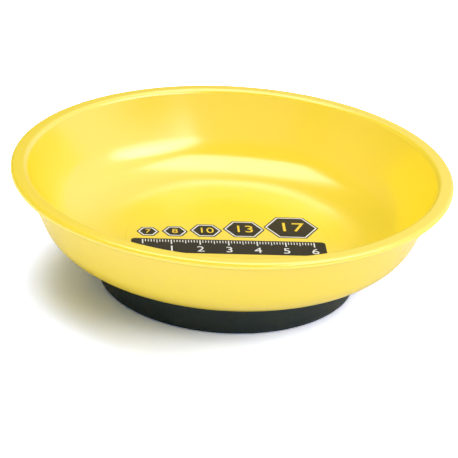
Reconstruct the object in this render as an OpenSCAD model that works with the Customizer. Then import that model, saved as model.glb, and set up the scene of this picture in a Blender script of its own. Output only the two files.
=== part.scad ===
// Magnetic parts tray: a moulded bowl on a rubber boot that holds a ring magnet.
// Millimetres, +Z up, origin on the axis in the plane that the tray rests on.

/* [Bowl] */
// Outside diameter of the lip
rim_d = 152; // [130:1:180]
// Height from the resting plane to the top of the lip
tray_h = 41.5; // [36:0.5:60]
// Thickness of the moulded wall
wall_t = 2.4; // [1.8:0.1:3.2]
// Slope of the straight part of the wall, from level
wall_angle = 66; // [58:1:74]
// Outside radius of the shallow belly next to the floor
belly_r = 40; // [30:1:44]
// Slope where the belly turns into the knuckle, from level
belly_angle = 30; // [20:1:40]
// Outside radius of the knuckle between belly and wall
knuckle_r = 16.5; // [10:0.5:20]
// Radius of the bend from wall to lip, on its lower side
lip_under_r = 0.8; // [0.4:0.1:2]
// Width of the flat ring on top of the lip
lip_flat = 2; // [0.6:0.1:5]

/* [Label] */
// Bare ring between the film and the edge of the flat floor
label_margin = 2.6; // [1:0.2:8]
// Thickness of the film
label_t = 0.15; // [0.1:0.05:0.4]

/* [Base] */
// Outside diameter of the rubber boot
base_d = 90; // [74:0.5:110]
// Thickness of the boot's wall
boot_wall = 2.95; // [2:0.05:4]
// Height of the floor's underside above the resting plane
base_h = 10.5; // [10:0.1:16]
// Rubber under the magnet
sole_t = 2; // [1.2:0.1:3]
// Rounding of the boot's lower outside edge
sole_edge_r = 1; // [0.4:0.1:1.8]
// Diameter of the recess for the screw's head and washers
recess_d = 14; // [13.5:0.5:22]
// Rubber between the washer and the boss
web_t = 2; // [1.5:0.1:2.5]

/* [Magnet] */
// Bore of the ferrite ring
magnet_bore = 32; // [28:0.5:40]
// Chamfer on the ring's edges
magnet_chamfer = 0.6; // [0.2:0.1:1.2]
// Height of the moulded ribs that press on the magnet
crush_rib_h = 0.5; // [0.3:0.1:1]
// Width of those ribs
crush_rib_w = 1.2; // [0.8:0.1:2]
// Number of those ribs
crush_ribs = 8; // [6:1:12]

/* [Snap skirt] */
// Thickness of the skirt under the bowl
skirt_t = 1.6; // [1.2:0.1:1.8]
// Depth of the skirt below the floor's underside
skirt_h = 5; // [4:0.1:6]
// Radius of the bead that snaps into the boot
bead_r = 0.6; // [0.3:0.1:0.8]

/* [Screw and insert] */
// Nominal diameter of the screw
screw_d = 4; // [3:0.5:5]
// Diameter of the screw's pan head
head_d = 8; // [6:0.5:9.5]
// Height of the screw's pan head
head_h = 2.4; // [1.8:0.1:2.6]
// Height of the screw's head above the resting plane
head_inset = 0.8; // [0.5:0.1:1.2]
// Rounding of the head's edge
head_round = 1.2; // [0.6:0.1:1.6]
// Length of the slots of the cross recess
cross_l = 4.6; // [3:0.1:5]
// Width of those slots
cross_w = 0.9; // [0.6:0.1:1.2]
// Depth of those slots
cross_depth = 1.4; // [0.8:0.1:1.6]
// Outside diameter of the wide washer
washer_d = 12; // [9:0.5:13]
// Thickness of the wide washer
washer_t = 1; // [0.8:0.1:1.2]
// Outside diameter of the split lock washer
lock_d = 7.2; // [6:0.1:8]
// Thickness of the split lock washer
lock_t = 0.9; // [0.7:0.1:1.1]
// Width of the lock washer's split
lock_split = 0.8; // [0.4:0.1:1.2]
// Slope of that split, from upright
lock_split_angle = 25; // [0:5:40]
// Outside diameter of the brass insert
insert_d = 6; // [5.5:0.1:7]
// Length of the brass insert
insert_l = 4; // [3:0.1:4.2]
// Width of the groove round the insert's middle
insert_groove_w = 0.8; // [0.4:0.1:1.2]
// Depth of that groove
insert_groove_h = 0.4; // [0.2:0.1:0.6]
// Outside diameter of the boss that holds the insert
boss_d = 14; // [11:0.5:18]

/* [Clearances] */
// Gap between rubber and the piece that it wraps
rubber_gap = 0.15; // [0.1:0.05:0.3]
// Gap round the magnet
magnet_gap = 0.3; // [0.2:0.05:0.5]
// Gap round the screw in washers and rubber
screw_gap = 0.25; // [0.15:0.05:0.4]
// Gap round the insert and in its thread
insert_gap = 0.05; // [0.02:0.01:0.1]
// Room in the boss beyond the insert's end
insert_relief = 0.3; // [0.1:0.1:0.5]

/* [Hidden] */
$fn = 96;

// How far a cut runs past the face that it opens
overshoot = 1;
// How far the chords of the bowl's arcs stray from the true curve
arc_sag = 0.01;

// Bowl section: arcs and straights that meet tangent, worked out from rim to floor
rim_r = rim_d / 2;
floor_z = base_h + wall_t;
lip_edge = [rim_r - wall_t / 2, tray_h - wall_t / 2];
lip_bend_r = lip_under_r + wall_t;
bend_c = [lip_edge.x - lip_flat, tray_h - lip_bend_r];
wall_top = bend_c + lip_under_r * across(wall_angle);
knuckle_rise = belly_r - (belly_r - knuckle_r) * cos(belly_angle);
wall_foot_z = base_h + knuckle_rise - knuckle_r * cos(wall_angle);
wall_l = (wall_top.y - wall_foot_z) / sin(wall_angle);
wall_foot = wall_top - wall_l * along(wall_angle);
knuckle_c = wall_foot + knuckle_r * across(wall_angle);
belly_c = knuckle_c + (belly_r - knuckle_r) * across(belly_angle);
floor_r = belly_c.x;

// Base stack, from the resting plane up
base_r = base_d / 2;
boot_ri = base_r - boot_wall;
skirt_r = boot_ri - rubber_gap;
skirt_ri = skirt_r - skirt_t;
skirt_z = base_h - skirt_h;
bead_z = skirt_z + skirt_h / 2;
magnet_r = skirt_ri - magnet_gap;
magnet_top = base_h - crush_rib_h;
column_r = magnet_bore / 2 - magnet_gap;
recess_r = recess_d / 2;

// Screw stack: the head stays inside the recess, clear of the resting plane
head_top = head_inset + head_h;
web_z = head_top + lock_t + washer_t;
boss_z = web_z + web_t;
screw_tip = boss_z + insert_l;
screw_hole_r = screw_d / 2 + screw_gap;

// Unit vectors along a line at a slope, and square to it
function along(a) = [cos(a), sin(a)];
function across(a) = [-sin(a), cos(a)];

// Points of an arc from angle a0 to a1, after its first point
function arc_points(c, r, a0, a1) =
    let (steps = ceil(abs(a1 - a0) / (2 * acos(1 - arc_sag / r))))
    [for (i = [1:steps]) c + r * along(a0 + (a1 - a0) * i / steps)];

// The line at a depth t inside the bowl's outer skin, from the floor's edge to the lip
function skin_line(t) = concat(
    [[floor_r, base_h + t]],
    arc_points(belly_c, belly_r - t, -90, belly_angle - 90),
    arc_points(knuckle_c, knuckle_r - t, belly_angle - 90, wall_angle - 90),
    [wall_top + t * across(wall_angle)],
    arc_points(bend_c, lip_under_r + t, 90 + wall_angle, 90)
);

function reversed(list) = [for (i = [len(list) - 1:-1:0]) list[i]];

// Height of the bowl's underside at a radius on the floor or the belly
function underside_z(r) =
    r < floor_r ? base_h : belly_c.y - sqrt(belly_r * belly_r - (r - floor_r) * (r - floor_r));

// A quarter disc in the section plane, for a rounded lower outside edge
module edge_round(c, r) {
    translate(c) intersection() {
        circle(r = r);
        translate([0, -2 * r]) square(2 * r);
    }
}

// A rectangle in the section plane, from one corner to the other
module patch(r0, z0, r1, z1) {
    translate([r0, z0]) square([r1 - r0, z1 - z0]);
}

// Section of the bowl's even wall, from the axis round the lip and back
module wall_section() {
    polygon(concat(
        [[0, base_h]],
        skin_line(0),
        [[lip_edge.x, tray_h - wall_t]],
        arc_points(lip_edge, wall_t / 2, -90, 0),
        arc_points(lip_edge, wall_t / 2, 0, 90),
        reversed(skin_line(wall_t)),
        [[0, floor_z]]
    ));
}

// The space above the bowl's underside, lowered by a gap
module bowl_space(gap) {
    polygon(concat([[0, base_h - gap]], skin_line(-gap), [[0, tray_h]]));
}

module skirt_section() {
    patch(skirt_ri, skirt_z, skirt_r, underside_z(skirt_ri) + wall_t / 2);
    translate([skirt_r, bead_z]) circle(r = bead_r);
}

module crush_rib() {
    rib_r0 = magnet_bore / 2 + magnet_chamfer;
    rib_r1 = min(magnet_r - magnet_chamfer, floor_r - crush_rib_w);
    translate([rib_r0, -crush_rib_w / 2, magnet_top])
        cube([rib_r1 - rib_r0, crush_rib_w, crush_rib_h + wall_t / 2]);
}

module bowl() {
    color("gold") difference() {
        union() {
            rotate_extrude() wall_section();
            rotate_extrude() skirt_section();
            translate([0, 0, boss_z]) cylinder(d = boss_d, h = base_h + wall_t / 2 - boss_z);
            for (i = [0:crush_ribs - 1]) rotate(360 * i / crush_ribs) crush_rib();
        }
        translate([0, 0, boss_z - overshoot])
            cylinder(d = insert_d + 2 * insert_gap, h = overshoot + insert_l + insert_relief);
    }
}

module floor_label() {
    color("khaki") translate([0, 0, floor_z]) cylinder(r = floor_r - label_margin, h = label_t);
}

// Section of the boot before the bowl and the bead are taken out of it
module boot_section() {
    edge_c = [base_r - sole_edge_r, sole_edge_r];
    wall_z = underside_z(base_r);
    patch(recess_r, 0, edge_c.x, sole_t);
    patch(magnet_r + magnet_gap, 0, edge_c.x, skirt_z - rubber_gap);
    patch(boot_ri, 0, edge_c.x, wall_z);
    patch(edge_c.x, edge_c.y, base_r, wall_z);
    edge_round(edge_c, sole_edge_r);
    patch(recess_r, 0, column_r, boss_z);
    patch(screw_hole_r, web_z, column_r, boss_z);
}

module base_boot() {
    color("dimgray") rotate_extrude() difference() {
        boot_section();
        bowl_space(rubber_gap);
        translate([skirt_r, bead_z]) circle(r = bead_r + rubber_gap);
    }
}

module ring_magnet() {
    c = magnet_chamfer;
    r0 = magnet_bore / 2;
    color("slategray") rotate_extrude() polygon([
        [r0 + c, sole_t], [magnet_r - c, sole_t], [magnet_r, sole_t + c], [magnet_r, magnet_top - c],
        [magnet_r - c, magnet_top], [r0 + c, magnet_top], [r0, magnet_top - c], [r0, sole_t + c],
    ]);
}

// Two knurled bands with a plain groove between them, bored for the screw
module threaded_insert() {
    r0 = screw_d / 2 + insert_gap;
    r1 = insert_d / 2;
    groove_z = (insert_l - insert_groove_w) / 2;
    color("goldenrod") translate([0, 0, boss_z]) rotate_extrude() difference() {
        patch(r0, 0, r1, insert_l);
        patch(r1 - insert_groove_h, groove_z, r1 + overshoot, groove_z + insert_groove_w);
    }
}

module penny_washer() {
    color("silver") translate([0, 0, web_z - washer_t])
        rotate_extrude() patch(screw_hole_r, 0, washer_d / 2, washer_t);
}

// A ring with one slanting cut
module lock_washer() {
    color("silver") translate([0, 0, head_top]) difference() {
        rotate_extrude() patch(screw_hole_r, 0, lock_d / 2, lock_t);
        translate([lock_d / 2, 0, lock_t / 2]) rotate([lock_split_angle, 0, 0])
            cube([lock_d, lock_split, lock_t + 2 * overshoot], center = true);
    }
}

// Pan head with a rounded edge and a cross recess, and a plain shank
module clamp_screw() {
    edge_c = [head_d / 2 - head_round, head_inset + head_round];
    color("silver") difference() {
        rotate_extrude() {
            patch(0, head_inset, edge_c.x, head_top);
            patch(edge_c.x, edge_c.y, head_d / 2, head_top);
            edge_round(edge_c, head_round);
            patch(0, head_top, screw_d / 2, screw_tip);
        }
        for (a = [0, 90]) rotate(a) translate([0, 0, head_inset])
            cube([cross_l, cross_w, 2 * cross_depth], center = true);
    }
}

bowl();
floor_label();
base_boot();
ring_magnet();
threaded_insert();
penny_washer();
lock_washer();
clamp_screw();
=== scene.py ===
# %% [markdown]
# Magnetic parts tray
#
# A round tray that keeps screws and nuts together during a repair. A yellow bowl, moulded in
# one piece, stands on a black rubber boot. Inside the boot a ferrite ring pulls on the steel
# parts above it and on the bench below it, and one screw from underneath holds the stack.
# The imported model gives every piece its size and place. This lesson gives the pieces their
# finished surfaces: clean turned meshes, procedural finishes, soft light and a camera.

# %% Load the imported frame
import math

import bmesh
import bpy
from mathutils import Matrix, Vector


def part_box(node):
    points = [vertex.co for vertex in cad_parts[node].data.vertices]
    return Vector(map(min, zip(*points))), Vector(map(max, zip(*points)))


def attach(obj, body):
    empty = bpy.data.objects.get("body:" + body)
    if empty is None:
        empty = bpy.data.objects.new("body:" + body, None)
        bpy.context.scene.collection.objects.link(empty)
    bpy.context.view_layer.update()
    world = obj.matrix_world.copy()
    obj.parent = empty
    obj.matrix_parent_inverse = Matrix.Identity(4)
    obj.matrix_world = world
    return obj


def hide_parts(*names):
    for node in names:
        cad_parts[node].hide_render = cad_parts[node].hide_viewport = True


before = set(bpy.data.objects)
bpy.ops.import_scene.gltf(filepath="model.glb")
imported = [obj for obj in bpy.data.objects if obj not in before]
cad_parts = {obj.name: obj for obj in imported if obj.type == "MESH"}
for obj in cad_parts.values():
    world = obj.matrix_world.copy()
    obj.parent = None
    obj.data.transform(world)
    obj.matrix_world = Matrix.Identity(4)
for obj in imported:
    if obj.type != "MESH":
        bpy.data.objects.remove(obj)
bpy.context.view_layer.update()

print("packed nodes:", ", ".join(sorted(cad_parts)))

# %% [markdown]
# Sizes
#
# A piece that replaces a packed one has to be the same size, so the outer sizes and the heights
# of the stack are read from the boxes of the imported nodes. A box says nothing about bends and
# wall thickness, so those come from the drawing of the bowl and are written here once.

# %% Read the stack from the frame
mm = 0.001

bowl_low, bowl_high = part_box("bowl")
boot_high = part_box("base_boot")[1]
film_low, film_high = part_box("floor_label")
magnet_low, magnet_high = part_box("ring_magnet")
insert_low, insert_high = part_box("threaded_insert")
washer_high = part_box("penny_washer")[1]

rim_r = bowl_high.x
tray_h = bowl_high.z
floor_z = film_low.z
base_r = boot_high.x
magnet_r = magnet_high.x
print(f"lip {2 * rim_r / mm:.1f} mm across, {tray_h / mm:.1f} mm high, floor at {floor_z / mm:.1f} mm")

# %% [markdown]
# The section of the bowl
#
# A moulded bowl has one even wall, and its section is a chain of arcs and straights that meet
# without a corner. Working from the lip down, each arc's centre follows from the one before it,
# so the whole curve needs only a few radii and slopes.

# %% Work out the arcs of the wall
wall_t = 2.4 * mm
wall_slope = math.radians(66)
belly_r = 40 * mm
belly_slope = math.radians(30)
knuckle_r = 16.5 * mm
lip_under_r = 0.8 * mm
lip_bend_r = lip_under_r + wall_t
lip_flat = 2 * mm


def along(slope):
    """Unit vector up a line of this slope, in the section plane."""
    return Vector((math.cos(slope), math.sin(slope)))


def across(slope):
    """Unit vector square to that line, towards the inside of the bowl."""
    return Vector((-math.sin(slope), math.cos(slope)))


under_z = floor_z - wall_t
lip_edge = Vector((rim_r - wall_t / 2, tray_h - wall_t / 2))
bend_c = Vector((lip_edge.x - lip_flat, tray_h - lip_bend_r))
wall_top = bend_c + lip_under_r * across(wall_slope)
knuckle_rise = belly_r - (belly_r - knuckle_r) * math.cos(belly_slope)
wall_foot_z = under_z + knuckle_rise - knuckle_r * math.cos(wall_slope)
wall_foot = wall_top - (wall_top.y - wall_foot_z) / math.sin(wall_slope) * along(wall_slope)
knuckle_c = wall_foot + knuckle_r * across(wall_slope)
belly_c = knuckle_c + (belly_r - knuckle_r) * across(belly_slope)
floor_r = belly_c.x
print(f"flat floor {2 * floor_r / mm:.1f} mm across, wall foot at {wall_foot.x / mm:.1f} mm")

# %% [markdown]
# Gloss shows the smallest change of slope. The highlight on the inside of the wall is taller
# than a straight wall would give, so the inside eases from the cove into the wall with one more
# arc and then stands up very slightly to the lip. It stays within 0.4 mm of the straight line.
# The thin bright line along the lip asks for a tighter bend there, 0.3 mm off the even wall.

# %% Ease the inside of the wall
cove_slope = math.radians(48)
ease_r = 21 * mm
rise_slope = math.radians(70)
brow_r = 2 * mm
brow_shift = (lip_bend_r - brow_r) * math.tan(rise_slope / 2)
brow_c = Vector((bend_c.x - brow_shift, tray_h - brow_r))

cove_end = knuckle_c - (knuckle_r - wall_t) * across(cove_slope)
ease_c = cove_end + ease_r * across(cove_slope)
rise_end = brow_c + brow_r * across(rise_slope)
reach = rise_end - ease_c
rise_r = (ease_r ** 2 - reach.length_squared) / (2 * (reach.dot(across(rise_slope)) + ease_r))
rise_c = rise_end + rise_r * across(rise_slope)
meeting = (rise_c - ease_c).normalized()
ease_slope = math.atan2(-meeting.x, meeting.y)
print(f"inside eases to {math.degrees(ease_slope):.1f} degrees, then a bow of {rise_r / mm:.0f} mm")

# %% [markdown]
# A pen for turned pieces
#
# Bowl, boot and film are all turned shapes: a half section swept once round the axis. A curve
# with a Screw modifier could do it too. The pen draws the section with the same operators that
# one would use by hand, extruding the last vertex for a straight and spinning it for an arc, so
# every arc is exact. A straight gets a point close to each end, which keeps the smooth shading
# of the neighbouring bend from creeping into the flat.

# %% The pen
class Pen:
    """Draws a half section in the XZ plane, from the axis outwards, and turns it."""

    hold = 0.4 * mm
    hold_share = 0.25
    arc_step = math.radians(2.5)
    arc_steps_min = 4
    turn_steps = 192
    weld = 0.002 * mm

    def __init__(self, r, z):
        self.mesh = bmesh.new()
        self.tip = self.mesh.verts.new((r, 0, z))

    def line(self, r, z):
        start = self.tip.co.copy()
        end = Vector((r, 0, z))
        share = self.hold / (end - start).length
        stops = [share, 1 - share] if share < self.hold_share else []
        for stop in [*stops, 1]:
            self.tip = bmesh.ops.extrude_vert_indiv(self.mesh, verts=[self.tip])["verts"][0]
            self.tip.co = start.lerp(end, stop)

    def arc(self, centre, turn):
        """A positive turn runs anticlockwise, seen with r to the right and z up."""
        spun = bmesh.ops.spin(
            self.mesh, geom=[self.tip], cent=(centre[0], 0, centre[1]), axis=(0, -1, 0),
            angle=turn, steps=max(self.arc_steps_min, round(abs(turn) / self.arc_step)),
        )
        self.tip = next(e for e in spun["geom_last"] if isinstance(e, bmesh.types.BMVert))

    def turned(self):
        """The section swept round the axis, with the seam and the poles closed."""
        bmesh.ops.spin(
            self.mesh, geom=self.mesh.verts[:] + self.mesh.edges[:], cent=(0, 0, 0),
            axis=(0, 0, 1), angle=2 * math.pi, steps=self.turn_steps, use_merge=True,
        )
        bmesh.ops.remove_doubles(self.mesh, verts=self.mesh.verts, dist=self.weld)
        bmesh.ops.recalc_face_normals(self.mesh, faces=self.mesh.faces)
        return self.mesh


ring_fit = 0.01 * mm
sharp_from = math.radians(40)


def ring_edges(mesh, r, z):
    """The edges of a turned mesh that run round the axis at this radius and height."""
    def on_ring(vert):
        return abs(vert.co.xy.length - r) < ring_fit and abs(vert.co.z - z) < ring_fit

    return [e for e in mesh.edges if all(on_ring(v) for v in e.verts)]


def soften(mesh, edges, width):
    """Rounds a sharp edge, as a mould or a stamping does."""
    bmesh.ops.bevel(
        mesh, geom=edges, offset=width, segments=4, profile=0.5, affect="EDGES", material=-1,
    )


def place_piece(name, mesh, material, slot, *nodes):
    """Makes the finished object, which rides on the tray and stands for the nodes."""
    data = bpy.data.meshes.new(name)
    mesh.to_mesh(data)
    mesh.free()
    data.shade_smooth()
    data.set_sharp_from_angle(angle=sharp_from)
    data.materials.append(material)
    piece = bpy.data.objects.new(name, data)
    bpy.context.scene.collection.objects.link(piece)
    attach(piece, "root")
    if nodes:
        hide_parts(*nodes)
    print(f"{name}: {len(data.polygons)} faces")
    return piece


# %% [markdown]
# The camera
#
# The tray was photographed with a long lens from a little above. The numbers are the pose that
# puts the lip, the wall and the base where they are in the picture: distance and height give
# the place, and the small tilt and roll are how the camera was held there.

# %% Place the camera
camera_distance = 704.8 * mm
camera_height_angle = math.radians(26.65)
camera_tilt = math.radians(1.276)
camera_roll = math.radians(3.464)

camera_data = bpy.data.cameras.new("camera")
camera_data.sensor_width = 36
camera_data.lens = 157.2
camera_data.clip_start = 0.05
camera_data.clip_end = 30
camera = bpy.data.objects.new("camera", camera_data)
bpy.context.scene.collection.objects.link(camera)
camera_place = camera_distance * Vector(
    (0, -math.cos(camera_height_angle), math.sin(camera_height_angle))
)
camera.matrix_world = (
    Matrix.Translation(camera_place)
    @ Matrix.Rotation(math.pi / 2 - camera_height_angle + camera_tilt, 4, "X")
    @ Matrix.Rotation(camera_roll, 4, "Z")
)
bpy.context.scene.camera = camera
print("camera", [round(c, 4) for c in camera_place])

# %% [markdown]
# Nodes by hand
#
# The finishes below are small node trees. This helper adds one node, sets its options and
# fills its inputs, either with a value or with a link from another node's output.

# %% A helper for node trees
def add_node(tree, kind, inputs=None, **options):
    node = tree.nodes.new(kind)
    for name, value in options.items():
        setattr(node, name, value)
    for key, value in (inputs or {}).items():
        if isinstance(value, bpy.types.NodeSocket):
            tree.links.new(value, node.inputs[key])
        else:
            node.inputs[key].default_value = value
    return node


# %% [markdown]
# Surroundings
#
# A glossy bowl shows the room that it stands in. Here the room is dim all round, apart from a
# white sheet behind the tray on the right, so the world's brightness is one smooth curve over
# the angle to that sheet. The camera itself sees plain white where nothing stands, and so does
# a ray through something clear. In gloss the sheet is plain white too.

# %% World
def direction(round_deg, up_deg):
    """Unit vector by compass angle, anticlockwise from +X, and height angle."""
    turn, rise = math.radians(round_deg), math.radians(up_deg)
    return Vector((math.cos(rise) * math.cos(turn), math.cos(rise) * math.sin(turn), math.sin(rise)))


room_level = 0.1
sheet_level = 0.6
sheet_middle = direction(30, 25)
# cosines of the angle to the middle of the sheet, from its edge to its full brightness
sheet_fade = (0.26, 0.82)
mirrored_fade = (0.36, 0.95)

bpy.context.scene.view_settings.view_transform = "Standard"
world = bpy.data.worlds.new("white_studio")
bpy.context.scene.world = world
world.use_nodes = True
world_tree = world.node_tree
world_coord = add_node(world_tree, "ShaderNodeTexCoord")
sheet_angle = add_node(
    world_tree, "ShaderNodeVectorMath",
    {0: world_coord.outputs["Generated"], 1: sheet_middle}, operation="DOT_PRODUCT",
)
surroundings = add_node(
    world_tree, "ShaderNodeMapRange",
    {"Value": sheet_angle.outputs["Value"], "From Min": sheet_fade[0], "From Max": sheet_fade[1],
     "To Min": room_level, "To Max": sheet_level},
    interpolation_type="SMOOTHSTEP",
)
mirrored = add_node(
    world_tree, "ShaderNodeMapRange",
    {"Value": sheet_angle.outputs["Value"], "From Min": mirrored_fade[0], "From Max": mirrored_fade[1],
     "To Min": room_level, "To Max": 1.0},
    interpolation_type="SMOOTHSTEP",
)
world_path = add_node(world_tree, "ShaderNodeLightPath")
world_gloss = add_node(
    world_tree, "ShaderNodeMix",
    {"Factor": world_path.outputs["Is Glossy Ray"],
     "A": surroundings.outputs[0], "B": mirrored.outputs[0]},
)
world_clear = add_node(
    world_tree, "ShaderNodeMath",
    {0: world_path.outputs["Is Camera Ray"], 1: world_path.outputs["Is Transmission Ray"]},
    operation="MAXIMUM",
)
world_level = add_node(
    world_tree, "ShaderNodeMix",
    {"Factor": world_clear.outputs[0], "A": world_gloss.outputs[0], "B": 1.0},
)
background = world_tree.nodes["Background"]
background.inputs["Color"].default_value = (1, 1, 1, 1)
world_tree.links.new(world_level.outputs[0], background.inputs["Strength"])
print("room", room_level, "and a sheet of", sheet_level, "behind on the right")

# %% [markdown]
# The floor
#
# A product table is a white sheet without an end. A plane does it: near the tray it is a matt
# white floor that takes the shadow, and further out it fades into plain white, for the camera
# and in gloss alike. In the picture the sheet is exposed a little beyond white, so the camera
# sees it lifted by a fixed amount, most of all in blue, which balances the yellow light that
# the bowl throws on it.

# %% Floor
floor_half = 6.0
floor_drop = 0.05 * mm
floor_fade = (0.25, 0.6)
floor_white = (0.92, 0.92, 0.92, 1)
floor_lift = (1.58, 1.74, 2.4, 1)

floor_mesh = bmesh.new()
bmesh.ops.create_grid(floor_mesh, x_segments=1, y_segments=1, size=floor_half)
bmesh.ops.translate(floor_mesh, verts=floor_mesh.verts, vec=(0, 0, -floor_drop))
floor_data = bpy.data.meshes.new("floor")
floor_mesh.to_mesh(floor_data)
floor_mesh.free()
floor = bpy.data.objects.new("floor", floor_data)
bpy.context.scene.collection.objects.link(floor)

# a Mix node has one pair of inputs for each kind of value, and these are its colours
mix_colour_a, mix_colour_b, mix_colour = 6, 7, 2
floor_material = bpy.data.materials.new("white_sheet")
floor_material.use_nodes = True
sheet = floor_material.node_tree
sheet.nodes.remove(sheet.nodes["Principled BSDF"])
sheet_coord = add_node(sheet, "ShaderNodeTexCoord")
sheet_radius = add_node(
    sheet, "ShaderNodeVectorMath", {0: sheet_coord.outputs["Object"]}, operation="LENGTH",
)
sheet_far = add_node(
    sheet, "ShaderNodeMapRange",
    {"Value": sheet_radius.outputs["Value"], "From Min": floor_fade[0], "From Max": floor_fade[1]},
    interpolation_type="SMOOTHSTEP",
)
sheet_path = add_node(sheet, "ShaderNodeLightPath")
sheet_tone = add_node(
    sheet, "ShaderNodeMix",
    {"Factor": sheet_path.outputs["Is Camera Ray"],
     mix_colour_a: floor_white, mix_colour_b: floor_lift},
    data_type="RGBA", clamp_result=False,
)
sheet_matt = add_node(sheet, "ShaderNodeBsdfDiffuse", {"Color": sheet_tone.outputs[mix_colour]})
sheet_plain = add_node(sheet, "ShaderNodeEmission", {"Color": (1, 1, 1, 1), "Strength": 1.0})
sheet_direct = add_node(
    sheet, "ShaderNodeMath",
    {0: sheet_path.outputs["Is Camera Ray"], 1: sheet_path.outputs["Is Transmission Ray"]},
    operation="MAXIMUM",
)
sheet_shown = add_node(
    sheet, "ShaderNodeMath",
    {0: sheet_direct.outputs[0], 1: sheet_path.outputs["Is Glossy Ray"]}, operation="MAXIMUM",
)
sheet_seen = add_node(
    sheet, "ShaderNodeMath", {0: sheet_far.outputs[0], 1: sheet_shown.outputs[0]}, operation="MULTIPLY",
)
sheet_mix = add_node(
    sheet, "ShaderNodeMixShader",
    {0: sheet_seen.outputs[0], 1: sheet_matt.outputs[0], 2: sheet_plain.outputs[0]},
)
sheet.links.new(sheet_mix.outputs[0], sheet.nodes["Material Output"].inputs["Surface"])
floor_data.materials.append(floor_material)
print("floor", 2 * floor_half, "m across")

# %% [markdown]
# Studio light
#
# The highlights in the bowl tell where the lamps stood: a ray from the camera that bounces off
# a highlight points at its lamp. One soft box hangs almost overhead and gives the long bright
# band in the cove. The other stands to the right, a little in front and not much higher than
# the lip looks: it gives the soft patch on the left of the back wall and throws the shadow.
# A strip behind the tray gives the faint second band on the floor. The patch on the wall is
# crisp along its foot and fades upwards, so the right box is brightest at its upper edge.

# %% Soft boxes
# watts for each square metre of a lamp whose face has a brightness of 1
face_watts = 4


def softbox(name, place, aim, width, height, radiance, shape="RECTANGLE"):
    """A flat lamp. Its watts follow from the brightness that its face should have."""
    light = bpy.data.lights.new(name, "AREA")
    light.shape = shape
    light.size = width
    light.size_y = height
    light.energy = face_watts * width * height * radiance
    lamp = bpy.data.objects.new(name, light)
    bpy.context.scene.collection.objects.link(lamp)
    lamp.location = place
    lamp.rotation_euler = (Vector(aim) - Vector(place)).to_track_quat("-Z", "Y").to_euler()
    lamp.visible_camera = False
    print(f"{name}: {light.energy:.2f} W")
    return lamp


tray_middle = Vector((0, 0, 0.02))
lamp_distance = 1.2
overhead_place = (-0.065, 0.145, 1.0)
overhead_aim = (-0.065, 0.145, 0)
overhead_turn = math.radians(-6)
right_place = tray_middle + 1.05 * direction(-31, 34.5)
right_fade_span = (0.1, 0.72)
strip_place = tray_middle + lamp_distance * direction(91, 45)

overhead = softbox("overhead_box", overhead_place, overhead_aim, width=0.90, height=0.62, radiance=1.58)
overhead.rotation_euler.z = overhead_turn
right_box = softbox(
    "right_box", right_place, tray_middle, width=1.1, height=0.76, radiance=1.8, shape="ELLIPSE",
)
softbox("back_strip", strip_place, tray_middle, width=0.2, height=0.32, radiance=1.6)

right_box.data.use_nodes = True
right_tree = right_box.data.node_tree
right_face = add_node(right_tree, "ShaderNodeNewGeometry")
right_spot = add_node(right_tree, "ShaderNodeSeparateXYZ", {0: right_face.outputs["Parametric"]})
right_fade = add_node(
    right_tree, "ShaderNodeMapRange",
    {"Value": right_spot.outputs["Y"],
     "From Min": right_fade_span[0], "From Max": right_fade_span[1]},
    interpolation_type="SMOOTHSTEP",
)
right_tree.links.new(right_fade.outputs[0], right_tree.nodes["Emission"].inputs["Strength"])

# %% [markdown]
# A product table has white cards round it that lift the dark sides of the object. Cards like
# that would also show in the gloss and wash out the shadow, so these light only the matt part
# of the pieces listed for them. The floor has three lamps of its own: two for its white, from
# above and from the right, and a low cool one that takes the bowl's yellow out of the shadow.

# %% Cards, and lamps for the floor
card_size = (1.6, 0.7)
floor_lamp_size = (0.8, 0.6)

lifted_pieces = bpy.data.collections.new("lifted_pieces")
floor_only = bpy.data.collections.new("floor_only")
floor_only.objects.link(floor)

for name, round_deg, up_deg, radiance in (
    ("left_card", 175, 26, 1.9),
    ("front_card", -95, 26, 1.7),
    ("right_card", -31, 36, 0.45),
):
    place = tray_middle + lamp_distance * direction(round_deg, up_deg)
    card = softbox(name, place, tray_middle, *card_size, radiance)
    card.visible_glossy = False
    card.light_linking.receiver_collection = lifted_pieces

for name, round_deg, up_deg, radiance, colour in (
    ("floor_top", 140, 72, 2.9, (1, 1, 1)),
    ("floor_side", -38, 38, 1.9, (1, 1, 1)),
    ("floor_fill", -140, 20, 0.5, (0.15, 0.6, 1)),
):
    place = tray_middle + lamp_distance * direction(round_deg, up_deg)
    lamp = softbox(name, place, tray_middle, *floor_lamp_size, radiance)
    lamp.data.color = colour
    lamp.light_linking.receiver_collection = floor_only

# %% [markdown]
# Shared surface effects
#
# No moulded or pressed surface is perfectly even. Three effects come back in several finishes,
# so each is built once as a node group: a fine grain that gives height for a bump, a slow drift
# of the colour, and faint handling marks that change how sharply the surface reflects. They
# read Object coordinates in metres, so their sizes are real ones.

# %% Node groups
def new_group(name, inputs, outputs):
    group = bpy.data.node_groups.new(name, "ShaderNodeTree")
    for label, kind, value in inputs:
        socket = group.interface.new_socket(name=label, in_out="INPUT", socket_type=kind)
        socket.default_value = value
    for label, kind in outputs:
        group.interface.new_socket(name=label, in_out="OUTPUT", socket_type=kind)
    return group, group.nodes.new("NodeGroupInput"), group.nodes.new("NodeGroupOutput")


def scaled_coords(tree, cell_mm):
    """Object coordinates counted in cells of this size in millimetres."""
    coord = add_node(tree, "ShaderNodeTexCoord")
    per_metre = add_node(tree, "ShaderNodeMath", {0: 1 / mm, 1: cell_mm}, operation="DIVIDE")
    scaled = add_node(
        tree, "ShaderNodeVectorMath",
        {0: coord.outputs["Object"], "Scale": per_metre.outputs[0]}, operation="SCALE",
    )
    return scaled.outputs[0]


FLOAT = "NodeSocketFloat"
COLOUR = "NodeSocketColor"

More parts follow.
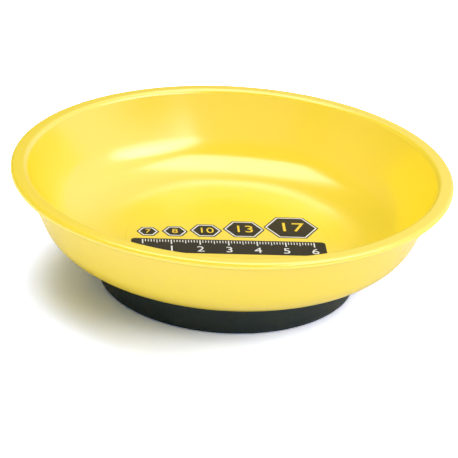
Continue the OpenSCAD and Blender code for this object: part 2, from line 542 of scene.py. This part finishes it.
grain, grain_in, grain_out = new_group("moulded_grain", [("Cell mm", FLOAT, 0.5)], [("Height", FLOAT)])
grain_coords = scaled_coords(grain, grain_in.outputs["Cell mm"])
grain_cells = add_node(
    grain, "ShaderNodeTexVoronoi",
    {"Vector": grain_coords, "Scale": 1.0, "Smoothness": 0.6}, feature="SMOOTH_F1",
)
grain_noise = add_node(
    grain, "ShaderNodeTexNoise", {"Vector": grain_coords, "Scale": 0.55, "Detail": 3.0},
)
grain_sum = add_node(
    grain, "ShaderNodeMath",
    {0: grain_cells.outputs["Distance"], 1: grain_noise.outputs["Fac"]}, operation="ADD",
)
grain.links.new(grain_sum.outputs[0], grain_out.inputs["Height"])

drift, drift_in, drift_out = new_group(
    "colour_drift",
    [("Colour", COLOUR, (0.5, 0.5, 0.5, 1)), ("Patch mm", FLOAT, 20.0), ("Amount", FLOAT, 0.05)],
    [("Colour", COLOUR)],
)
drift_noise = add_node(
    drift, "ShaderNodeTexNoise",
    {"Vector": scaled_coords(drift, drift_in.outputs["Patch mm"]), "Scale": 1.0, "Detail": 4.0},
)
drift_offset = add_node(
    drift, "ShaderNodeMath", {0: drift_noise.outputs["Fac"], 1: 0.5}, operation="SUBTRACT",
)
drift_gain = add_node(
    drift, "ShaderNodeMath", {0: drift_offset.outputs[0], 1: drift_in.outputs["Amount"], 2: 1.0},
    operation="MULTIPLY_ADD",
)
drift_colour = add_node(
    drift, "ShaderNodeVectorMath",
    {0: drift_in.outputs["Colour"], "Scale": drift_gain.outputs[0]}, operation="SCALE",
)
drift.links.new(drift_colour.outputs[0], drift_out.inputs["Colour"])

marks, marks_in, marks_out = new_group(
    "handling_marks",
    [("Length mm", FLOAT, 8.0), ("Base", FLOAT, 0.2), ("Gain", FLOAT, 0.1)],
    [("Roughness", FLOAT)],
)
marks_stretch = add_node(
    marks, "ShaderNodeMapping",
    {"Vector": scaled_coords(marks, marks_in.outputs["Length mm"]),
     "Rotation": (0.3, 0.2, 0.6), "Scale": (1, 14, 5)},
)
marks_noise = add_node(
    marks, "ShaderNodeTexNoise", {"Vector": marks_stretch.outputs[0], "Scale": 1.0, "Detail": 5.0},
)
marks_mask = add_node(
    marks, "ShaderNodeMapRange",
    {"Value": marks_noise.outputs["Fac"], "From Min": 0.52, "From Max": 0.75},
)
marks_level = add_node(
    marks, "ShaderNodeMath",
    {0: marks_mask.outputs[0], 1: marks_in.outputs["Gain"], 2: marks_in.outputs["Base"]},
    operation="MULTIPLY_ADD",
)
marks.links.new(marks_level.outputs[0], marks_out.inputs["Roughness"])
print("node groups:", ", ".join(g.name for g in (grain, drift, marks)))

# %% [markdown]
# Finishes
#
# Every finish is a Principled shader with the same three effects at its own strength. The
# helper wires them, and takes any other setting of the shader that a finish needs.

# %% A helper for finishes
def add_group(tree, group, inputs):
    node = tree.nodes.new("ShaderNodeGroup")
    node.node_tree = group
    for key, value in inputs.items():
        node.inputs[key].default_value = value
    return node


def finish(name, colour, drift_of, roughness_of, grain_of, settings=None):
    """drift_of is patch and amount, roughness_of base and gain, grain_of cell and depth in mm."""
    material = bpy.data.materials.new(name)
    material.use_nodes = True
    tree = material.node_tree
    shader = tree.nodes["Principled BSDF"]
    patch, amount = drift_of
    base, gain = roughness_of
    cell, depth = grain_of
    tint = add_group(tree, drift, {"Colour": (*colour, 1), "Patch mm": patch, "Amount": amount})
    tree.links.new(tint.outputs["Colour"], shader.inputs["Base Color"])
    sheen = add_group(tree, marks, {"Base": base, "Gain": gain})
    tree.links.new(sheen.outputs["Roughness"], shader.inputs["Roughness"])
    height = add_group(tree, grain, {"Cell mm": cell})
    bump = add_node(
        tree, "ShaderNodeBump",
        {"Height": height.outputs["Height"], "Strength": 1.0, "Distance": depth * mm},
    )
    tree.links.new(bump.outputs["Normal"], shader.inputs["Normal"])
    for key, value in (settings or {}).items():
        shader.inputs[key].default_value = value
    print("finish", name)
    return material


# %% [markdown]
# The bowl is polished plastic, so its highlights are bright and only a little soft. The film on
# its floor is clear and shows the same yellow. Inks dry matt. The rubber has the coarse grain of
# its mould, ferrite is ground, and the insert, washers and screw are bare metal. Image textures
# could give all of this, but noise needs no file and has no seam on a turned piece.

# %% Yellow plastic, film, inks, rubber, ferrite, brass and zinc
plastic_yellow = (0.94, 0.71, 0.03)
plastic_gloss = {"IOR": 1.8, "Specular IOR Level": 1.0}
dull = {"Specular IOR Level": 0.2}
metal = {"Metallic": 1.0}

yellow_plastic = finish(
    "yellow_plastic", plastic_yellow,
    drift_of=(30, 0.03), roughness_of=(0.20, 0.015), grain_of=(0.5, 0.0006), settings=plastic_gloss,
)
clear_film = finish(
    "clear_film", plastic_yellow,
    drift_of=(30, 0.03), roughness_of=(0.19, 0.015), grain_of=(0.8, 0.0005), settings=plastic_gloss,
)
black_ink = finish(
    "black_ink", (0.012, 0.011, 0.010),
    drift_of=(3, 0.3), roughness_of=(0.35, 0.1), grain_of=(0.25, 0.001), settings=dull,
)
white_ink = finish(
    "white_ink", (0.80, 0.81, 0.80),
    drift_of=(3, 0.06), roughness_of=(0.35, 0.1), grain_of=(0.25, 0.001),
)
yellow_ink = finish(
    "yellow_ink", (0.90, 0.62, 0.03),
    drift_of=(3, 0.1), roughness_of=(0.32, 0.1), grain_of=(0.25, 0.001),
)
black_rubber = finish(
    "black_rubber", (0.006, 0.024, 0.036),
    drift_of=(6, 0.5), roughness_of=(0.46, 0.15), grain_of=(1.0, 0.08),
)
grey_ferrite = finish(
    "grey_ferrite", (0.045, 0.045, 0.05),
    drift_of=(2, 0.5), roughness_of=(0.5, 0.2), grain_of=(0.2, 0.01),
)
turned_brass = finish(
    "turned_brass", (0.70, 0.47, 0.16),
    drift_of=(1.5, 0.15), roughness_of=(0.28, 0.15), grain_of=(0.3, 0.004), settings=metal,
)
zinc_plating = finish(
    "zinc_plating", (0.66, 0.69, 0.73),
    drift_of=(1.5, 0.2), roughness_of=(0.26, 0.2), grain_of=(0.15, 0.003), settings=metal,
)

# %% [markdown]
# The bowl
#
# One injection moulding. The pen walks from the middle of the floor up the inside, over the
# lip and back down the outside, then round the snap skirt with its bead and the boss for the
# insert. Turning that closed section gives the whole bowl without a seam, and no modifier
# has to thicken a wall whose two sides differ.

# %% Turn the bowl
boot_wall = 2.95 * mm
rubber_gap = 0.15 * mm
magnet_gap = 0.3 * mm
bead_r = 0.6 * mm
boss_r = 7 * mm
insert_gap = 0.05 * mm
insert_relief = 0.3 * mm

boot_ri = base_r - boot_wall
skirt_r = boot_ri - rubber_gap
skirt_ri = magnet_r + magnet_gap
skirt_z = bowl_low.z
bead_z = (skirt_z + under_z) / 2
boss_z = insert_low.z
hole_r = insert_high.x + insert_gap
hole_top = insert_high.z + insert_relief


def belly_turn(r):
    """How far round the belly's arc, from its lowest point, a radius lies."""
    return math.asin((r - floor_r) / belly_r)


def belly_z(r):
    return belly_c.y - belly_r * math.cos(belly_turn(r))


pen = Pen(0, floor_z)
pen.line(floor_r, floor_z)
pen.arc(belly_c, belly_slope)
pen.arc(knuckle_c, cove_slope - belly_slope)
pen.arc(ease_c, ease_slope - cove_slope)
pen.arc(rise_c, rise_slope - ease_slope)
pen.arc(brow_c, -rise_slope)
pen.line(lip_edge.x, tray_h)
pen.arc(lip_edge, -math.pi)
pen.line(bend_c.x, tray_h - wall_t)
pen.arc(bend_c, wall_slope)
pen.line(*wall_foot)
pen.arc(knuckle_c, belly_slope - wall_slope)
pen.arc(belly_c, belly_turn(skirt_r) - belly_slope)
pen.line(skirt_r, bead_z + bead_r)
pen.arc((skirt_r, bead_z), -math.pi)
pen.line(skirt_r, skirt_z)
pen.line(skirt_ri, skirt_z)
pen.line(skirt_ri, belly_z(skirt_ri))
pen.line(floor_r, under_z)
pen.line(boss_r, under_z)
pen.line(boss_r, boss_z)
pen.line(hole_r, boss_z)
pen.line(hole_r, hole_top)
pen.line(0, hole_top)
bowl_mesh = pen.turned()
print("bowl turned in", Pen.turn_steps, "steps")

# %% [markdown]
# Eight thin ribs under the floor press on the magnet and are crushed a little when the screw is
# tightened, so nothing rattles. They can't be turned, so each is a cube that is stretched,
# moved out and turned round the axis, all in one matrix.

# %% Add the crush ribs
rib_count = 8
rib_w = 1.2 * mm
rib_r0 = 16.6 * mm
rib_r1 = floor_r - rib_w
rib_h = under_z - magnet_high.z

for i in range(rib_count):
    turn = Matrix.Rotation(2 * math.pi * i / rib_count, 4, "Z")
    centre = Matrix.Translation(((rib_r0 + rib_r1) / 2, 0, under_z - rib_h / 2))
    block = Matrix.Diagonal((rib_r1 - rib_r0, rib_w, rib_h, 1))
    bmesh.ops.create_cube(bowl_mesh, size=1, matrix=turn @ centre @ block)
moulded_bowl = place_piece("moulded_bowl", bowl_mesh, yellow_plastic, "bowl_plastic", "bowl")
lifted_pieces.objects.link(moulded_bowl)

# %% [markdown]
# The rubber boot
#
# The boot is moulded too, but soft: its corners are round, and its wall has a groove that the
# bead of the bowl snaps into. The section is a closed loop that never touches the axis, because
# the screw passes through the middle. Small corners are simpler to bevel than to draw.

# %% Turn the boot
sole_t = magnet_low.z
sole_edge_r = 1 * mm
recess_r = 7 * mm
column_r = 15.7 * mm
screw_hole_r = 2.25 * mm
web_z = washer_high.z
boot_top = belly_z(base_r) - rubber_gap
groove_r = bead_r + rubber_gap
groove_half = math.acos(rubber_gap / groove_r)
boot_top_soft = 0.35 * mm
recess_soft = 0.6 * mm

pen = Pen(recess_r, 0)
pen.line(base_r - sole_edge_r, 0)
pen.arc((base_r - sole_edge_r, sole_edge_r), math.pi / 2)
pen.line(base_r, boot_top)
pen.line(boot_ri, belly_z(boot_ri) - rubber_gap)
pen.line(boot_ri, bead_z + groove_r * math.sin(groove_half))
pen.arc((skirt_r, bead_z), -2 * groove_half)
pen.line(boot_ri, skirt_z - rubber_gap)
pen.line(skirt_ri, skirt_z - rubber_gap)
pen.line(skirt_ri, sole_t)
pen.line(column_r, sole_t)
pen.line(column_r, boss_z)
pen.line(screw_hole_r, boss_z)
pen.line(screw_hole_r, web_z)
pen.line(recess_r, web_z)
pen.line(recess_r, 0)
boot_mesh = pen.turned()
soften(boot_mesh, ring_edges(boot_mesh, base_r, boot_top), boot_top_soft)
soften(boot_mesh, ring_edges(boot_mesh, recess_r, 0), recess_soft)
place_piece("rubber_boot", boot_mesh, black_rubber, "boot_rubber", "base_boot")

# %% [markdown]
# The film and its print
#
# A thin clear film lies on the floor of the bowl and carries a size gauge: a row of spanner
# sizes for nuts, and a short rule. The film is one more turned piece with a soft edge.

# %% Turn the film
film_r = film_high.x
film_top = film_high.z
film_soft = 0.08 * mm

pen = Pen(0, film_top)
pen.line(film_r, film_top)
pen.line(film_r, floor_z)
pen.line(0, floor_z)
film_mesh = pen.turned()
soften(film_mesh, ring_edges(film_mesh, film_r, film_top), film_soft)
label_film = place_piece("label_film", film_mesh, clear_film, "label_film", "floor_label")
lifted_pieces.objects.link(label_film)

# %% [markdown]
# Ink on film has sharp edges, which a painted texture would blur when seen from close by. So the
# print is built from flat shapes that are extruded by the thickness of the ink. The helper
# collects shapes of one colour in one mesh, and turns the whole print a little on the floor.

# %% Helpers for flat print
ink_t = 0.03 * mm
print_turn = math.radians(4.8)
figure_share = 0.72


class Print:
    """One colour of ink. Shapes are drawn flat around the middle of the film."""

    def __init__(self):
        self.mesh = bmesh.new()

    def put(self, verts, x, y):
        bmesh.ops.translate(self.mesh, verts=verts, vec=(x, y, 0))

    def hexagon(self, flats, x, y):
        made = bmesh.ops.create_circle(
            self.mesh, cap_ends=True, segments=6, radius=flats / math.sqrt(3),
            matrix=Matrix.Rotation(math.pi / 6, 4, "Z"),
        )
        self.put(made["verts"], x, y)

    def hexagon_line(self, flats, width, x, y):
        loops = [
            bmesh.ops.create_circle(
                self.mesh, cap_ends=False, segments=6, radius=size / math.sqrt(3),
                matrix=Matrix.Rotation(math.pi / 6, 4, "Z"),
            )["verts"]
            for size in (flats, flats - 2 * width)
        ]
        edges = {e for loop in loops for v in loop for e in v.link_edges}
        bmesh.ops.bridge_loops(self.mesh, edges=list(edges))
        self.put([v for loop in loops for v in loop], x, y)

    def bar(self, width, height, x, y, corner=0):
        made = bmesh.ops.create_grid(
            self.mesh, x_segments=1, y_segments=1, size=0.5,
            matrix=Matrix.Diagonal((width, height, 1, 1)),
        )["verts"]
        self.put(made, x, y)
        if corner:
            bmesh.ops.bevel(
                self.mesh, geom=made, offset=corner, segments=6, profile=0.5,
                affect="VERTICES", material=-1,
            )

    def number(self, value, height, x, y):
        curve = bpy.data.curves.new("number", "FONT")
        curve.body = str(value)
        curve.size = height / figure_share
        curve.align_x = "CENTER"
        curve.align_y = "CENTER"
        text = bpy.data.objects.new("number", curve)
        bpy.context.scene.collection.objects.link(text)
        depsgraph = bpy.context.evaluated_depsgraph_get()
        flat = bpy.data.meshes.new_from_object(text.evaluated_get(depsgraph))
        before = set(self.mesh.verts)
        self.mesh.from_mesh(flat)
        self.put([v for v in self.mesh.verts if v not in before], x, y)
        bpy.data.objects.remove(text)
        bpy.data.curves.remove(curve)
        bpy.data.meshes.remove(flat)

    def raised(self, z):
        """The shapes extruded by the ink's thickness and laid at this height."""
        made = bmesh.ops.extrude_face_region(self.mesh, geom=self.mesh.faces[:])
        top = [e for e in made["geom"] if isinstance(e, bmesh.types.BMVert)]
        bmesh.ops.translate(self.mesh, verts=top, vec=(0, 0, ink_t))
        bmesh.ops.recalc_face_normals(self.mesh, faces=self.mesh.faces)
        bmesh.ops.translate(self.mesh, verts=self.mesh.verts, vec=(0, 0, z))
        bmesh.ops.rotate(
            self.mesh, verts=self.mesh.verts, cent=(0, 0, 0),
            matrix=Matrix.Rotation(print_turn, 3, "Z"),
        )
        return self.mesh


# %% [markdown]
# The gauge has five nuts in their real sizes, each with its spanner size, over a rule of 60 mm.
# Black is printed first, then white and yellow on top of it, so each colour is one piece and the
# upper inks lie one ink's thickness higher.

# %% Draw the gauge
spanner_sizes = [7, 8, 10, 13, 17]
nut_gap = 2 * mm
nut_foot = 1.5 * mm
nut_margin = 0.5 * mm
nut_line = 0.5 * mm
nut_figure = 0.42
rule_l = 60
rule_bar = (68 * mm, 11 * mm)
rule_corner = 1.5 * mm
rule_y = -5.5 * mm
rule_margin = 0.8 * mm
rule_figure = 4.2 * mm
rule_figure_drop = 2.3 * mm
tens_tick = (0.45 * mm, 3.4 * mm)
fives_tick = (0.3 * mm, 2.6 * mm)
ones_tick = (0.3 * mm, 1.8 * mm)

black, white, yellow = Print(), Print(), Print()
row_l = sum(spanner_sizes) * mm + (len(spanner_sizes) - 1) * nut_gap
nut_left = -row_l / 2
for size in spanner_sizes:
    flats = size * mm
    x = nut_left + flats / 2
    y = nut_foot + flats / math.sqrt(3)
    black.hexagon(flats, x, y)
    white.hexagon_line(flats - 2 * nut_margin, nut_line, x, y)
    yellow.number(size, nut_figure * flats, x, y)
    nut_left += flats + nut_gap

black.bar(*rule_bar, 0, rule_y, corner=rule_corner)
tick_top = rule_y + rule_bar[1] / 2 - rule_margin
for i in range(rule_l + 1):
    tick_w, tick_l = tens_tick if i % 10 == 0 else fives_tick if i % 5 == 0 else ones_tick
    white.bar(tick_w, tick_l, (i - rule_l / 2) * mm, tick_top - tick_l / 2)
for i in range(rule_l // 10 + 1):
    white.number(i, rule_figure, (10 * i - rule_l / 2) * mm, rule_y - rule_figure_drop)

inks = [
    place_piece("gauge_black", black.raised(film_top), black_ink, "label_film"),
    place_piece("gauge_white", white.raised(film_top + ink_t), white_ink, "label_film"),
    place_piece("gauge_yellow", yellow.raised(film_top + ink_t), yellow_ink, "label_film"),
]
for ink in inks:
    lifted_pieces.objects.link(ink)

# %% [markdown]
# The pieces inside
#
# The magnet, the insert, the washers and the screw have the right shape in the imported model,
# so they stay and only get their finish.

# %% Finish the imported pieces
inner_finishes = {
    "ring_magnet": grey_ferrite,
    "threaded_insert": turned_brass,
    "penny_washer": zinc_plating,
    "lock_washer": zinc_plating,
    "clamp_screw": zinc_plating,
}
for node, material in inner_finishes.items():
    for material_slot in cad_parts[node].material_slots:
        material_slot.material = material
    print(node, "in", material.name)
